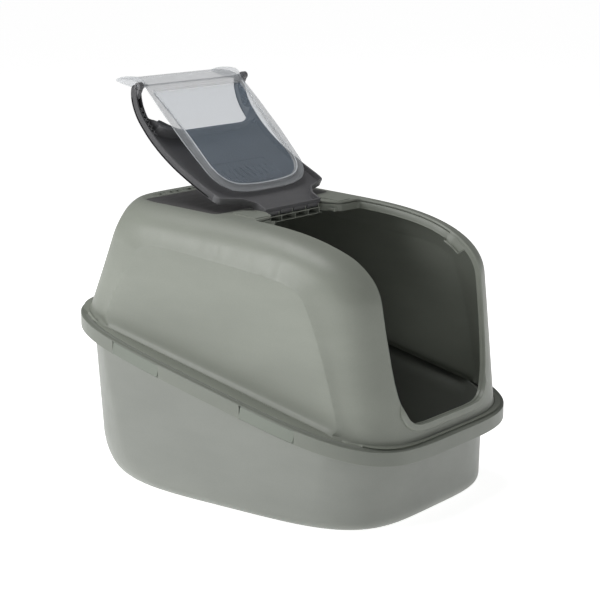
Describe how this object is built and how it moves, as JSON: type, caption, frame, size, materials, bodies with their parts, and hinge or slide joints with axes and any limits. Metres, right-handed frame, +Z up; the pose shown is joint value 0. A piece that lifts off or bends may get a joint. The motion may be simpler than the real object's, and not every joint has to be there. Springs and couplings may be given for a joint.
{
  "type": "hooded cat litter box",
  "caption": "Covered litter box: open pan with slanted rim, lift-off hood, hinged front panel with a clear swing flap, filter cover and rim clips.",
  "frame": {"origin": "on the floor, under the middle of the rim's outline", "axes": "+Z up, -Y towards the entrance, +X to the right seen from the front"},
  "size_m": [0.493, 0.657, 0.6663],
  "materials": {
    "pan_plastic": "fine moulded grain, satin",
    "hood_plastic": "fine moulded grain, satin",
    "panel_plastic": "fine moulded grain, satin",
    "cover_plastic": "fine moulded grain, satin",
    "clip_plastic": "smooth satin",
    "flap_plastic": "clear, slightly frosted",
    "carbon": "black open foam"
  },
  "bodies": {
    "pan": {"pan": "pan_plastic"},
    "hood": {"hood": "hood_plastic", "carbon_filter": "carbon", "hinge_plate_left": "panel_plastic", "hinge_plate_right": "panel_plastic"},
    "front_panel": {"front_panel": "panel_plastic"},
    "flap": {"flap": "flap_plastic"},
    "filter_cover": {"filter_cover": "cover_plastic"},
    "clip_back_left": {"clip_back_left": "clip_plastic"},
    "clip_back_right": {"clip_back_right": "clip_plastic"},
    "clip_front_left": {"clip_front_left": "clip_plastic"},
    "clip_front_right": {"clip_front_right": "clip_plastic"}
  },
  "joints": [
    {"name": "hood_lift", "type": "slide", "parent": "pan", "child": "hood", "axis": [0, 0, 1], "range_m": [0, 0.2]},
    {"name": "panel_hinge", "type": "hinge", "parent": "hood", "child": "front_panel", "pos_m": [0, 0.0017, 0.455], "axis": [1, 0, 0], "range_deg": [0, 153]},
    {"name": "flap_swing", "type": "hinge", "parent": "front_panel", "child": "flap", "pos_m": [0, 0.20617, 0.65108], "axis": [1, 0, 0], "range_deg": [-112, 0]},
    {"name": "cover_lift", "type": "hinge", "parent": "hood", "child": "filter_cover", "pos_m": [0, 0.03508, 0.46023], "axis": [1, 0, 0], "range_deg": [0, 18]},
    {"name": "clip_back_left_swing", "type": "hinge", "parent": "pan", "child": "clip_back_left", "pos_m": [-0.2403, 0.129, 0.22101], "axis": [-0.0419, -0.9723, -0.2299], "range_deg": [0, 80]},
    {"name": "clip_back_right_swing", "type": "hinge", "parent": "pan", "child": "clip_back_right", "pos_m": [0.2403, 0.129, 0.22101], "axis": [-0.0419, 0.9723, 0.2299], "range_deg": [0, 80]},
    {"name": "clip_front_left_swing", "type": "hinge", "parent": "pan", "child": "clip_front_left", "pos_m": [-0.23999, -0.136, 0.15834], "axis": [0.0442, -0.9722, -0.2299], "range_deg": [0, 80]},
    {"name": "clip_front_right_swing", "type": "hinge", "parent": "pan", "child": "clip_front_right", "pos_m": [0.23999, -0.136, 0.15834], "axis": [0.0442, 0.9722, 0.2299], "range_deg": [0, 80]}
  ]
}
